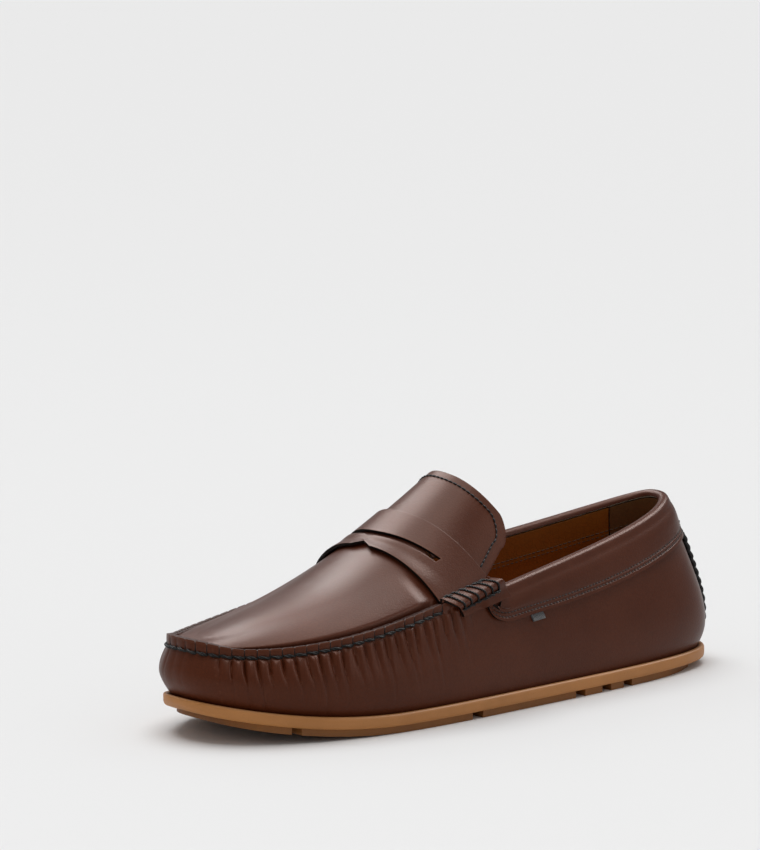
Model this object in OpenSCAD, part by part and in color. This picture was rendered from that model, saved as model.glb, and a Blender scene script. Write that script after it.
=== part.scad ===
// Moccasin penny loafer, left foot, adult. Toe +X, outer side +Y, up +Z, ground at z = 0.

/* [Size] */
// length of the sole, heel to toe
sole_len = 295; // [265:1:315]
// width factor of the whole shoe
width_k = 1; // [0.9:0.01:1.1]
// height factor of the upper
height_k = 1; // [0.9:0.01:1.1]
// rise of the toe above flat ground
toe_spring = 10.9; // [4:0.1:14]

/* [Sole] */
// height of the tread pads
pad_h = 3; // [2:0.1:5]
// height of the rim of the outsole above the pads
rim_h = 5.8; // [4:0.1:9]
// thickness of the rim wall
rim_t = 2.9; // [2:0.1:4]

/* [Leather] */
// thickness of the wrap leather
wrap_t = 1.5; // [1:0.1:1.6]
// thickness of the apron, tongue and strap leather
apron_t = 1.4; // [1:0.1:1.6]
// height of the raised moccasin seam
ridge_h = 4.2; // [2.5:0.1:5]
// width of the slot in the strap
slot_w = 3; // [1.5:0.1:4]
// depth of the notch in the strap front edge
notch = 2.4; // [0:0.1:5]

/* [Hidden] */
hl = sole_len/2;
swing = 5*width_k;
pw = 0.8;
zr = pad_h + rim_h;
zf = zr - 3;
n_sole = 36;
// half widths of the sole, heel to toe, outer side then inner side
rl = [62, 47.5, 42.1, 43.5, 54.7, 55.4, 47.4]*width_k;
rm = [41.1, 45.1, 40, 40.8, 53.5, 53.2, 47]*width_k;
// half width and height of the top edge: topline behind, moccasin seam in front
tw = [30.3, 31.8, 32.4, 38.5, 49.3, 47.1, 40]*width_k;
tz = [82.1, 74.9, 65.1, 55.5, 40.3, 37, 42.6]*height_k;
tx0 = -130.6/147.5*hl;
tx1 = 146.5/147.5*hl;
// swell of the side wall above the feather line and below the top edge
o1 = [13.5, 9, 3, 3, 5.5, 6.5, 7.7];
h1 = [13, 18, 16, 14, 12, 12, 9];
o2 = [11.5, 6, 4, 3, 4, 7, 1.5];
h2 = [34, 30, 24, 20, 12, 9, 10.5];
// crown of the apron, strap and tongue, and its lean to the inner side
cr = [110, 108, 144.7, 94.2, 54.9, 49.8, 48.7]*height_k;
lean = [9, 9, 9, 8, -6, -3, 0];
// lower edge of the collar panel, heel to front end
cl = [0.80, 0.79, 0.765, 0.735, 0.705, 0.695, 0.72];

// smooth curve through evenly spaced control values, level at both ends
function b3(v, t) = let(n = len(v) - 1, q = min(max(t, 0), 1)*n, i = min(floor(q), n - 1), f = q - i,
  a = v[i == 0 ? 1 : i - 1], d = v[i + 1 == n ? n - 1 : i + 2])
  (a*pow(1 - f, 3) + v[i]*(3*f*f*f - 6*f*f + 4) + v[i + 1]*(3*f*f + 3*f + 1 - 3*f*f*f) + d*f*f*f)/6;
function ease(a, b, x) = let(t = min(max((x - a)/(b - a), 0), 1)) t*t*(3 - 2*t);
function ramp(a, b, n) = [for (i = [0:n]) a + (b - a)*i/n];
function spr(x) = toe_spring*pow(max(0, (x - 0.38*hl)/(0.62*hl)), 2);
function bend(x) = -swing*pow(max(0, x/hl), 2);

// round the shoe: v 0 heel, 1 toe, 2 heel again by the inner side
function vm(v) = v < 0 ? v + 2 : v > 2 ? v - 2 : v;
function uu(v) = let(w = vm(v)) w <= 1 ? w : 2 - w;
function sg(v) = vm(v) <= 1 ? 1 : -1;
function level(a, b) = let(d = b - a) [-d[1], d[0], 0]/norm([d[0], d[1]]);
function rim(v) = let(u = uu(v), x = -hl*cos(180*u))
  [x, sg(v)*b3(sg(v) > 0 ? rl : rm, u)*pow(sin(180*u), pw) + bend(x), 0];
function rimn(v) = level(rim(v - 0.003), rim(v + 0.003));
function edge(v) = let(u = uu(v), x = tx0 + (tx1 - tx0)*(1 - cos(180*u))/2)
  [x, sg(v)*b3(tw, u)*pow(sin(180*u), pw) + bend(x), b3(tz, u)];
function edgen(v) = level(edge(v - 0.003), edge(v + 0.003));
// sole point at an inset and height, following the toe spring
function sp(v, ins, z) = let(p = rim(v) - ins*rimn(v)) [p[0], p[1], z + spr(p[0])];
// side wall: t 0 at the feather line, 1 at the top edge
function side(v, t) = let(u = uu(v), n = rimn(v), f = sp(v, rim_t + 0.3, zr + 0.1), e = edge(v),
  p = f + n*b3(o1, u) + [0, 0, b3(h1, u)], q = e + n*b3(o2, u) - [0, 0, b3(h2, u)])
  f*pow(1 - t, 3) + 3*p*t*pow(1 - t, 2) + 3*q*t*t*(1 - t) + e*t*t*t;
function siden(v, t) = let(c = cross(side(v, t + 0.02) - side(v, t - 0.02),
  side(v + 0.003, t) - side(v - 0.003, t))) c/norm(c);
function so(v, t, o) = side(v, t) + o*siden(v, t);

// top of the foot: height over the plan
function ux(x) = acos(min(max(1 - 2*(x - tx0)/(tx1 - tx0), -1), 1))/180;
function hw(x) = let(u = ux(x)) b3(tw, u)*pow(sin(180*u), pw);
function az(x, y) = let(u = ux(x), s = (y - bend(x))/max(hw(x), 1), z = b3(tz, u),
  c = (b3(cr, u) - z)*(1 - pow(max(0, (x - 0.6*hl)/(tx1 - 0.6*hl)), 3)))
  z + c*(1 - pow(abs(s), 2.2)) - b3(lean, u)*s*(1 - s*s);
function ao(x, y, o) = let(n = [az(x - 0.2, y) - az(x + 0.2, y), az(x, y - 0.2) - az(x, y + 0.2), 0.4])
  [x, y, az(x, y)] + o*n/norm(n);
function as(x, s, o) = ao(x, s*hw(x) + bend(x), o);

// closed body between two skins; hole leaves out cells i0..i1, j0..j1
function good(f) = [for (t = f) if (t[0] != t[1] && t[1] != t[2] && t[0] != t[2]) t];
module sheet(a, b, spine = false, hole = [-1, -1, -1, -1]) {
  n = len(a);
  m = len(a[0]);
  function on(i, j) = i >= 0 && i < n - 1 && j >= 0 && j < m - 1
    && !(i >= hole[0] && i <= hole[1] && j >= hole[2] && j <= hole[3]);
  function k(i, j) = (spine && j == m - 1 && 2*i > n - 1) ? (n - 1 - i)*m + j : i*m + j;
  function wall(p, q) = [[p, q, q + n*m], [p, q + n*m, p + n*m]];
  tris = [for (i = [0:n - 2], j = [0:m - 2]) if (on(i, j))
    let(p = k(i, j), q = k(i + 1, j), r = k(i + 1, j + 1), s = k(i, j + 1))
    each concat([[p, q, r], [p, r, s], [p + n*m, r + n*m, q + n*m], [p + n*m, s + n*m, r + n*m]],
      on(i, j - 1) ? [] : wall(q, p), on(i, j + 1) || (spine && j == m - 2) ? [] : wall(s, r),
      on(i - 1, j) ? [] : wall(p, s), on(i + 1, j) ? [] : wall(r, q))];
  polyhedron(concat([for (r = a) each r], [for (r = b) each r]), good(tris));
}
// body of revolution-like rings round the sole, closed below and above
module ring(p) {
  n = len(p);
  m = len(p[0]);
  function k(i, j) = (i % n)*m + j;
  tris = concat([for (i = [0:n - 1], j = [0:m - 2]) each [[k(i, j), k(i + 1, j), k(i + 1, j + 1)],
      [k(i, j), k(i + 1, j + 1), k(i, j + 1)]]],
    [for (i = [0:n/2 - 1]) each [[k(i + 1, 0), k(i, 0), k(n - i, 0)],
      [k(i + 1, 0), k(n - i, 0), k(n - i - 1, 0)], [k(i, m - 1), k(i + 1, m - 1), k(n - i - 1, m - 1)],
      [k(i, m - 1), k(n - i - 1, m - 1), k(n - i, m - 1)]]]);
  polyhedron([for (r = p) each r], good(tris));
}
module slab(path) {
  ring([for (i = [0:2*n_sole - 1]) [for (q = path) sp(i/n_sole, q[0], q[1])]]);
}
// thread or cord along points c, with outward directions o
module bead(c, o, ra, rb, k = 5) {
  n = len(c);
  pts = [for (i = [0:n - 1]) let(t = c[min(i + 1, n - 1)] - c[max(i - 1, 0)], d = cross(t, o[i]),
    w = d/norm(d), e = cross(w, t)/norm(t)) for (j = [0:k - 1])
    c[i] + ra*cos(360*j/k)*e + rb*sin(360*j/k)*w];
  tris = concat([for (i = [0:n - 2], j = [0:k - 1]) let(p = i*k + j, s = i*k + (j + 1) % k)
      each [[p, p + k, s + k], [p, s + k, s]]],
    [for (j = [1:k - 2]) each [[0, j, j + 1], [(n - 1)*k, (n - 1)*k + j + 1, (n - 1)*k + j]]]);
  polyhedron(pts, tris);
}
// panel of the side wall between two offsets
module panel(vs, ts, oa, ob) {
  sheet([for (v = vs) [for (t = ts) so(v, t, oa)]], [for (v = vs) [for (t = ts) so(v, t, ob)]]);
}

module outsole() color([0.62, 0.43, 0.24]) slab([[1, pad_h], [0.2, pad_h + 0.6],
  [0, pad_h + rim_h*0.5], [0.3, zr - 0.4], [0.9, zr], [rim_t - 0.5, zr], [rim_t, zr - 0.5], [rim_t, zf]]);

// grooves between the tread pads, as stations along the shoe
cuts = [0.02, 0.318, 0.353, 0.393, 0.536, 0.776, 0.968];
// inset of the pads from the rim: small at the sides, large round heel and toe
function tread_in(u) = 1.2 + 7*(1 - ease(0.05, 0.28, u)) + 10*ease(0.8, 0.97, u);
// the pads under the toe and the heel go right across, the others lie in pairs
module tread_pads() color([0.42, 0.28, 0.14]) for (m = [1, -1], i = [0:len(cuts) - 2])
  let(whole = i == 0 || i == len(cuts) - 2) if (m > 0 || !whole)
    pad([for (u = ramp(cuts[i] + 0.007, cuts[i + 1] - 0.007, 7)) m > 0 ? u : 2 - u], m, whole);
module pad(vs, m, whole) {
  z = pad_h + 0.5;
  q = [for (v = vs) let(p = sp(v, tread_in(uu(v)), 0), e = sp(2 - v, tread_in(uu(v)), 0),
    y = whole ? e[1] : 1.6*m + bend(p[0])) [p, p + [0, 0, z], [p[0], y, p[2] + z], [p[0], y, p[2]]]];
  n = len(q);
  tris = concat([for (i = [0:n - 2], j = [0:3]) let(a = i*4 + j, b = i*4 + (j + 1) % 4)
    each [[a, a + 4, b + 4], [a, b + 4, b]]],
    [[0, 1, 2], [0, 2, 3], [n*4 - 4, n*4 - 2, n*4 - 3], [n*4 - 4, n*4 - 1, n*4 - 2]]);
  polyhedron([for (r = q) each r], m > 0 ? tris : [for (t = tris) [t[0], t[2], t[1]]]);
}

module sole_filler() color([0.75, 0.6, 0.42]) slab([[13, zf + 0.3], [13, zf + wrap_t + 0.2]]);
module insole_board() color([0.7, 0.6, 0.45]) slab([[rim_t + wrap_t + 0.9, zf + wrap_t + 0.6],
  [rim_t + wrap_t + 0.9, zf + wrap_t + 2.4]]);
fb = zf + wrap_t + 2.7;
module footbed_foam() color([0.85, 0.8, 0.6]) slab([[9, fb], [8.2, fb + 2.2], [8.2, fb + 3.2]]);
module sock_liner() color([0.5, 0.3, 0.1]) slab([[8.2, fb + 3.5], [8.2, fb + 4.3]]);

// wrap: turned in under the insole, up the side, turned up along the seam
module vamp_wrap() color([0.25, 0.14, 0.1]) {
  vs = ramp(0.002, 1.998, 84);
  ts = [0, 0.14, 0.32, 0.52, 0.72, 0.88, 1];
  sheet([for (v = vs) let(g = wtop(v), r = lift(v)) concat([sp(v, 11.5, zf + 0.3),
      sp(v, rim_t + 0.5, zf + 0.3)], [for (t = ts) side(v, t*g)], [side(v, g) + [0, 0, r]])],
    [for (v = vs) let(g = wtop(v), r = lift(v), e = edgen(v)) concat([sp(v, 11.5, zf + 0.3 + wrap_t),
      sp(v, rim_t + wrap_t + 0.5, zf + 0.3 + wrap_t)], [for (t = ts) t < 1 ? so(v, t*g, -wrap_t)
      : side(v, g) - wrap_t*e], [side(v, g) - wrap_t*e + [0, 0, r]])]);
}
function wtop(v) = 0.92 + 0.08*ease(0.486, 0.53, uu(v));
function lift(v) = 0.2 + (rise(v) - 0.2)*ease(0.486, 0.535, uu(v));
// the raised seam stands highest round the toe
function rise(v) = ridge_h*(1 + 0.35*ease(0.84, 0.94, uu(v)));

module toe_puff() color([0.8, 0.78, 0.7]) panel(ramp(0.8, 1.2, 20), [0.1, 0.4, 0.65, 0.85],
  -wrap_t - 0.3, -wrap_t - 1);
module heel_counter() color([0.7, 0.65, 0.55]) panel(ramp(-0.3, 0.3, 24), [0.06, 0.25, 0.45, 0.65],
  -wrap_t - 0.3, -wrap_t - 1.3);

// forefoot lining: up both sides and across under the apron
module vamp_lining() color([0.55, 0.33, 0.1]) {
  vs = ramp(0.541, 1.459, 44);
  sheet([for (v = vs) vl(v, 0)], [for (v = vs) vl(v, 0.9)], spine = true);
}
function vl(v, o) = concat([for (t = [0.04, 0.3, 0.55, 0.8]) so(v, t, -wrap_t - 1.4 - o)],
  [for (f = [0.12, 0.3, 0.52, 0.76, 1]) across(v, f, -apron_t - 0.5 - 1.2*(1 - f) - o)]);
// point on the top, a fraction f of the way in from the seam to the centre spine
function across(v, f, o) = let(p = edge(v), c = spinex(p[0]), x = p[0] + (c - p[0])*f,
  y = p[1] + (bend(c) - p[1])*f) ao(x, y, o);
function spinex(x) = x - 0.2*max(0, x - 20);

function ltop(v) = 0.962 - 0.02*ease(0, 0.48, uu(v));
function down(v, d) = 1 - d/(2.7*b3(h2, uu(v)));
function lin(v, o) = [for (t = [0.05, 0.25, 0.5, 0.75, 1]) so(v, t*ltop(v), o)];
module quarter(a, b) color([0.55, 0.33, 0.1])
  sheet([for (v = ramp(a, b, 16)) lin(v, -wrap_t - 1.6)], [for (v = ramp(a, b, 16)) lin(v, -wrap_t - 2.6)]);
module quarter_lining_lateral() quarter(0.16, 0.536);
module quarter_lining_medial() quarter(1.464, 1.84);
module heel_grip() color([0.3, 0.17, 0.09])
  sheet([for (v = ramp(-0.157, 0.157, 20)) lin(v, -wrap_t - 1.6)],
    [for (v = ramp(-0.157, 0.157, 20)) lin(v, -wrap_t - 2.6)]);
module lining_stitching() color([0.6, 0.38, 0.15]) for (d = [14, 16], m = [0, 1]) {
  vs = m == 0 ? ramp(0.17, 0.49, 18) : ramp(1.51, 1.83, 18);
  bead([for (v = vs) so(v, down(v, d), -wrap_t - 2.6)], [for (v = vs) siden(v, 0.8)], 0.35, 0.35, 4);
}

// apron: turned up against the wrap all along the seam
module apron() color([0.27, 0.15, 0.11]) {
  vs = ramp(0.548, 1.452, 56);
  sheet([for (v = vs) let(e = edge(v), n = edgen(v)) concat([e - (wrap_t + 0.3 + apron_t)*n
      + [0, 0, rise(v) - 0.3]], [for (f = [0.11, 0.2, 0.35, 0.55, 0.78, 1]) across(v, f, plump(v, f))])],
    [for (v = vs) let(e = edge(v), n = edgen(v)) concat([e - (wrap_t + 0.3)*n + [0, 0, rise(v) - 0.3]],
      [across(v, 0.055, -apron_t - 0.2)], [for (f = [0.2, 0.35, 0.55, 0.78, 1])
      across(v, f, plump(v, f) - apron_t)])],
    spine = true);
}
// the apron swells beside the seam, and lies flat where the strap covers it
function plump(v, f) = 1.8*(1 - ease(0.1, 0.5, f))*ease(2, 11, edge(v)[0] - line(sf, sg(v)*(1 - f)));
module moc_thread() color([0.1, 0.09, 0.09]) {
  vs = ramp(0.575, 1.425, 72);
  bead([for (v = vs) edge(v) + 0.35*edgen(v) + [0, 0, 0.7]], [for (v = vs) edgen(v)], 0.8, 0.8, 5);
}

// saddle strap: g 0 front edge, 1 rear edge; columns run from tail to tail
sf = [46.2, 9];
sr = [23, 17];
ss = [37.8, 20];
tf = [34.5, 29.5, 24.5, 23.5];
tr = [4.5, 1, -2.6, -5];
function tail(q, m, g, o) = let(x = tf[q] + (tr[q] - tf[q])*g + (m < 0 ? 7 : 0),
  v = m > 0 ? ux(x) : 2 - ux(x), e = edge(v), n = edgen(v), w = 0.35 + 1.5*ease(0.35, 0.55, g) + o)
  q == 0 ? e + [0, 0, ridge_h + 0.8 + o] - 0.6*n : q == 1 ? e + (3.2 + o)*n + [0, 0, 1.6 + 3*g + 0.4*o]
  : q == 2 ? so(v, 0.955, w) + [0, 0, 2.4*g] : so(v, 0.9, w) + [0, 0, 0.8*g];
function line(c, s) = c[0] - c[1]*s*s - 4*s;
function st(s, j, o) = let(a = line(sf, s) - notch*max(0, 1 - abs(s)/0.13), b = line(sr, s),
  c = line(ss, s) + slot_w/2 + 2*max(0, 1 - abs(s)/0.12), d = line(ss, s) - slot_w/2)
  as(j == 0 ? a : j == 1 ? (a + c)/2 : j == 2 ? c : j == 3 ? d : j == 4 ? (d + b)/2 : b, s, 0.35 + o);
gs = [0, 0.12, 0.25, 0.34, 0.6, 1];
cols = [0.93, 0.8, 0.66, 0.5, 0.34, 0.2, 0.12, 0.05, 0, -0.05, -0.12, -0.2, -0.34, -0.5, -0.66, -0.8, -0.93];
function strap(o) = concat([for (q = [3:-1:0]) [for (g = gs) tail(q, 1, g, o)]],
  [for (s = cols) [for (j = [0:5]) st(s, j, o)]], [for (q = [0:3]) [for (g = gs) tail(q, -1, g, o)]]);
module saddle_strap() color([0.26, 0.14, 0.1]) sheet(strap(apron_t), strap(0), hole = [6, 17, 2, 2]);
module beefroll(m) color([0.1, 0.09, 0.09]) {
  for (g = [0.07, 0.22, 0.37, 0.52, 0.67, 0.82]) {
    c = [as(line(sf, 0.93*m) + (line(sr, 0.93*m) - line(sf, 0.93*m))*g, 0.92*m, 0.5 + apron_t),
      tail(0, m, g, apron_t + 0.15), tail(1, m, g, apron_t + 0.15), tail(2, m, g, apron_t + 0.15)];
    bead(c, [for (p = [0:3]) p == 0 ? [0, 0, 1] : p == 1 ? [0, m*0.4, 1] : [0, m, 0.4]], 0.5, 0.5, 5);
  }
  bead([for (g = ramp(0.06, 0.95, 10)) tail(2, m, g, apron_t + 0.1)],
    [for (g = ramp(0.06, 0.95, 10)) [0, m, 0.2]], 0.5, 0.5, 5);
}
module beefroll_thread_lateral() beefroll(1);
module beefroll_thread_medial() beefroll(-1);

// tongue: g 0 under the strap, 1 at the free top edge
function tgw(g) = g < 0.6 ? 0.928 - 0.155*g : 0.66 + 0.175*pow(max(0, 1 - pow((g - 0.6)/0.4, 2)), 0.75);
function tg(b, g, k, o) = let(s = b*tgw(g)*k, f = line(sr, s) - 0.2, r = -2.8 - 19.5*s*s - 4*s)
  as(f + (r - f)*g*(1 - 2*(1 - k)), s, o);
tgg = [0, 0.2, 0.4, 0.6, 0.72, 0.84, 0.93, 0.98, 1];
module tongue() color([0.27, 0.15, 0.11]) sheet([for (b = ramp(1, -1, 20)) [for (g = tgg) tg(b, g, 1, 0)]],
  [for (b = ramp(1, -1, 20)) [for (g = tgg) tg(b, g, 1, -apron_t)]]);
module tongue_lining() color([0.5, 0.3, 0.1])
  sheet([for (b = ramp(1, -1, 20)) [for (g = tgg) tg(b, g, 0.98, -apron_t - 0.3)]],
  [for (b = ramp(1, -1, 20)) [for (g = tgg) tg(b, g, 0.98, -apron_t - 1.1)]]);
module tongue_stitching() color([0.1, 0.09, 0.09]) {
  p = concat([for (g = [0.05, 0.2, 0.4, 0.6, 0.72, 0.84, 0.93, 0.98]) [1, g]],
    [for (b = ramp(1, -1, 14)) [b, 1]], [for (g = [0.98, 0.93, 0.84, 0.72, 0.6, 0.4, 0.2, 0.05]) [-1, g]]);
  bead([for (q = p) tg(q[0], q[1], 0.935, 0.05)], [for (q = p) [0, q[0]*0.6, 1]], 0.35, 0.35, 4);
}

// collar panel: up the outside, folded over the top edge and down inside
function clow(v) = b3(cl, uu(v)/0.478);
function fold(v, r) = let(e = edge(v), n = edgen(v), c = e - 1.6*n - [0, 0, 2.6])
  [for (a = [0:36:180]) c + r*(cos(a)*n + [0, 0, sin(a)])];
function up(v, o, r) = concat([for (f = [0, 0.35, 0.7, 1]) let(w = v*(1 + 0.045*(1 - f)))
  so(w, clow(w) + (0.93 - clow(w))*f, o)], fold(v, r));
module collar_panel() color([0.25, 0.14, 0.1]) {
  vs = ramp(-0.478, 0.478, 60);
  sheet([for (v = vs) up(v, 1.5, 2.6)], [for (v = vs) up(v, 0.3, 1.4)]);
}
module collar_foam() color([0.9, 0.9, 0.85]) {
  vs = ramp(-0.47, 0.47, 48);
  bead([for (v = vs) edge(v) - 1.6*edgen(v) - [0, 0, 2.6]], [for (v = vs) edgen(v)], 1, 1, 6);
}
module collar_stitching() color([0.16, 0.12, 0.1]) for (d = [0.02, 0.045]) {
  vs = ramp(-0.47, 0.47, 48);
  bead([for (v = vs) so(v, clow(v) + d, 1.5)], [for (v = vs) siden(v, 0.75)], 0.3, 0.3, 4);
}

module back_seam_cord() color([0.08, 0.08, 0.08])
  bead([for (t = ramp(0.13, 0.77, 14)) so(0.028, t, 1.5)], [for (t = ramp(0.13, 0.77, 14)) siden(0.028, t)],
  1.9, 3, 8);
module heel_tab() color([0.22, 0.13, 0.09]) panel(ramp(0.006, 0.05, 6), ramp(0.03, 0.11, 3), 1.4, 0.3);
module woven_tab() color([0.45, 0.42, 0.38]) panel(ramp(0.424, 0.444, 3), ramp(0.6, 0.68, 2), 1.2, 0.3);

outsole();
tread_pads();
sole_filler();
insole_board();
footbed_foam();
sock_liner();
vamp_wrap();
toe_puff();
heel_counter();
vamp_lining();
quarter_lining_lateral();
quarter_lining_medial();
heel_grip();
lining_stitching();
apron();
moc_thread();
saddle_strap();
beefroll_thread_lateral();
beefroll_thread_medial();
tongue();
tongue_lining();
tongue_stitching();
collar_panel();
collar_foam();
collar_stitching();
back_seam_cord();
heel_tab();
woven_tab();
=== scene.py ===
"""Left penny loafer: leather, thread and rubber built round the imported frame.

The scene is in metres, the shape maths in millimetres. v runs once round the shoe from the heel, 0 to 1 along the
outer side to the toe and 1 to 2 back along the inner side; t runs up the side wall from the sole to the top edge.
"""
import math

import bmesh
import bpy
import numpy as np
from mathutils import Matrix, Vector


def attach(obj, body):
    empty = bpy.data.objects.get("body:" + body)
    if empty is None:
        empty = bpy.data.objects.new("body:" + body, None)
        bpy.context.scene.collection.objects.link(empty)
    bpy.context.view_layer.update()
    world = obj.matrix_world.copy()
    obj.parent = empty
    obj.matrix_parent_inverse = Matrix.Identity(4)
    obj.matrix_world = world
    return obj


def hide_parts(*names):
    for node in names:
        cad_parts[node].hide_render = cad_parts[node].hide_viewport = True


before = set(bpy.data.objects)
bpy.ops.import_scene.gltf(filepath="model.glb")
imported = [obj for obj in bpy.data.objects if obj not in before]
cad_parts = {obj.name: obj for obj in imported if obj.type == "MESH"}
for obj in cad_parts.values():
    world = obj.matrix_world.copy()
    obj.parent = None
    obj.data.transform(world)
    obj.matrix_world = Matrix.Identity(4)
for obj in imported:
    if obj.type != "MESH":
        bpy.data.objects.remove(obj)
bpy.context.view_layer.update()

MM = 0.001
HALF = 147.5          # half the sole's length
RIM_TOP = 8.8         # top of the sole's rim
PAD = 3.0             # depth of the tread pads
RIM_T = 2.9           # width of the rim
CUP = 5.8             # floor of the cup sole
WRAP_T = 1.5          # leather of the wrap
APRON_T = 1.4         # leather of the apron, strap and tongue
RIDGE = 4.2           # rise of the raised seam
SPRING = 10.9         # lift of the toe
BALL = 0.38           # where that lift starts, as a share of HALF
SWING = 5.0           # inward swing of the toe
HEEL_X, TOE_X = -130.6, 146.5       # ends of the top edge

# the last's lines, heel to toe: half widths, heights, and the pull of the side wall's curve at both its ends
SOLE_OUT = [62, 47.5, 42.1, 43.5, 54.7, 55.4, 47.4]
SOLE_IN = [41.1, 45.1, 40.0, 40.8, 53.5, 53.2, 47]
TOP_W = [30.3, 31.8, 32.4, 38.5, 49.3, 47.1, 40]
TOP_Z = [82.1, 74.9, 65.1, 55.5, 40.3, 37, 42.6]
OUT_LOW = [13.5, 9, 3, 3, 5.5, 6.5, 7.7]
UP_LOW = [13, 18, 16, 14, 12, 12, 9]
OUT_TOP = [11.5, 6, 4, 3, 4, 7, 1.5]
DOWN_TOP = [34, 30, 24, 20, 12, 9, 10.5]
CROWN = [110, 108, 144.7, 94.2, 54.9, 49.8, 48.7]
LEAN = [9, 9, 9, 8, -6, -3, 0]
PANEL_LOW = [0.80, 0.79, 0.765, 0.735, 0.705, 0.695, 0.72]


# ---------------------------------------------------------------- the last
def curve(vals, t):
    vals = np.asarray(vals, float)
    n = len(vals) - 1
    q = np.clip(t, 0, 1) * n
    e = np.concatenate([[vals[1]], vals, [vals[-2]]])
    i = np.minimum(np.floor(q).astype(int), n - 1)
    f = q - i
    return (e[i] * (1 - f) ** 3 + e[i + 1] * (3 * f ** 3 - 6 * f * f + 4)
            + e[i + 2] * (3 * f + 3 * f * f - 3 * f ** 3 + 1) + e[i + 3] * f ** 3) / 6


def ease(a, b, x):
    t = np.clip((x - a) / (b - a), 0, 1)
    return t * t * (3 - 2 * t)


def spring(x):
    return SPRING * np.maximum(0, (x / HALF - BALL) / (1 - BALL)) ** 2


def bend(x):
    return -SWING * np.maximum(0, x / HALF) ** 2


def fold_v(v):
    v = np.mod(v, 2)
    return np.where(v <= 1, v, 2 - v), np.where(v <= 1, 1.0, -1.0)


def stack(*parts):
    return np.stack(np.broadcast_arrays(*[np.asarray(p, float) for p in parts]), -1)


UP = np.array([0.0, 0.0, 1.0])


def fullness(u):
    """0 at the heel and toe, 1 amidships: it rounds the ends of an outline."""
    return np.maximum(np.sin(np.pi * u), 0) ** 0.8


def rim(v):
    u, s = fold_v(v)
    x = -HALF * np.cos(np.pi * u)
    w = np.where(s > 0, curve(SOLE_OUT, u), curve(SOLE_IN, u))
    return stack(x, s * w * fullness(u) + bend(x), 0)


def edge(v):
    u, s = fold_v(v)
    x = HEEL_X + (TOE_X - HEEL_X) * (1 - np.cos(np.pi * u)) / 2
    return stack(x, s * curve(TOP_W, u) * fullness(u) + bend(x), curve(TOP_Z, u))


NEAR = 0.003          # step in v for a slope


def out_of(line, v):
    """Level normal of an outline, pointing away from the shoe."""
    d = line(v + NEAR) - line(v - NEAR)
    n = stack(-d[..., 1], d[..., 0], 0)
    return n / np.linalg.norm(n, axis=-1, keepdims=True)


def sole(v, inset, z):
    """A line round the sole, inset from its edge, at height z above the sprung ground line."""
    p = rim(v) - out_of(rim, v) * np.asarray(inset, float)[..., None]
    p[..., 2] = z + spring(p[..., 0])
    return p


def side(v, t):
    """The side wall: one smooth curve from the rim to the top edge."""
    v, t = np.broadcast_arrays(np.asarray(v, float), np.asarray(t, float))
    u, _ = fold_v(v)
    n = out_of(rim, v)
    f = sole(v, np.full(v.shape, RIM_T + 0.3), RIM_TOP + 0.1)
    e = edge(v)
    p = f + n * curve(OUT_LOW, u)[..., None] + UP * curve(UP_LOW, u)[..., None]
    q = e + n * curve(OUT_TOP, u)[..., None] - UP * curve(DOWN_TOP, u)[..., None]
    t = t[..., None]
    return f * (1 - t) ** 3 + 3 * p * t * (1 - t) ** 2 + 3 * q * t * t * (1 - t) + e * t ** 3


def side_out(v, t):
    c = np.cross(side(v, t + 0.02) - side(v, t - 0.02), side(v + NEAR, t) - side(v - NEAR, t))
    return c / np.linalg.norm(c, axis=-1, keepdims=True)


def wall(v, t, off):
    """The side wall moved outwards by off."""
    v, t = np.broadcast_arrays(np.asarray(v, float), np.asarray(t, float))
    return side(v, t) + side_out(v, t) * np.broadcast_to(off, v.shape)[..., None]


def station(x):
    return np.arccos(np.clip(1 - 2 * (x - HEEL_X) / (TOE_X - HEEL_X), -1, 1)) / np.pi


def half_width(x):
    u = station(x)
    return curve(TOP_W, u) * fullness(u)


def top_z(x, y):
    u = station(x)
    s = (y - bend(x)) / np.maximum(half_width(x), 1)
    z = curve(TOP_Z, u)
    c = (curve(CROWN, u) - z) * (1 - np.maximum(0, (x - 0.6 * HALF) / (TOE_X - 0.6 * HALF)) ** 3)
    return z + c * (1 - np.abs(s) ** 2.2) - curve(LEAN, u) * s * (1 - s * s)


def top(x, y, off):
    """The instep's crown moved outwards by off."""
    x, y, off = np.broadcast_arrays(np.asarray(x, float), np.asarray(y, float), np.asarray(off, float))
    n = stack(top_z(x - 0.2, y) - top_z(x + 0.2, y), top_z(x, y - 0.2) - top_z(x, y + 0.2), 0.4)
    n = n / np.linalg.norm(n, axis=-1, keepdims=True)
    return stack(x, y, top_z(x, y)) + n * off[..., None]


def across(v, f, off):
    """A point of the crown between the top edge, f 0, and the middle line, f 1."""
    p = edge(v)
    c = p[..., 0] - 0.2 * np.maximum(0, p[..., 0] - 20)
    return top(p[..., 0] + (c - p[..., 0]) * f, p[..., 1] + (bend(c) - p[..., 1]) * f, off)


V_STEPS, T_STEPS = 400, 80
GRID_V, GRID_T = np.linspace(0, 2, V_STEPS + 1), np.linspace(0, 1, T_STEPS + 1)
STEPS = np.linalg.norm(np.diff(side(GRID_V[:, None], GRID_T[None, :]), axis=1), axis=2)
DROP = np.concatenate([np.cumsum(STEPS[:, ::-1], 1)[:, ::-1], np.zeros((V_STEPS + 1, 1))], 1)


def drop_row(v):
    return np.round(np.mod(v, 2) * V_STEPS / 2).astype(int)


def drop(v, t):
    """Distance down the side wall from the top edge."""
    i, j = drop_row(v), np.clip(t, 0, 1) * T_STEPS
    k = np.minimum(j.astype(int), T_STEPS - 1)
    return DROP[i, k] * (1 - j + k) + DROP[i, k + 1] * (j - k)


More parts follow.
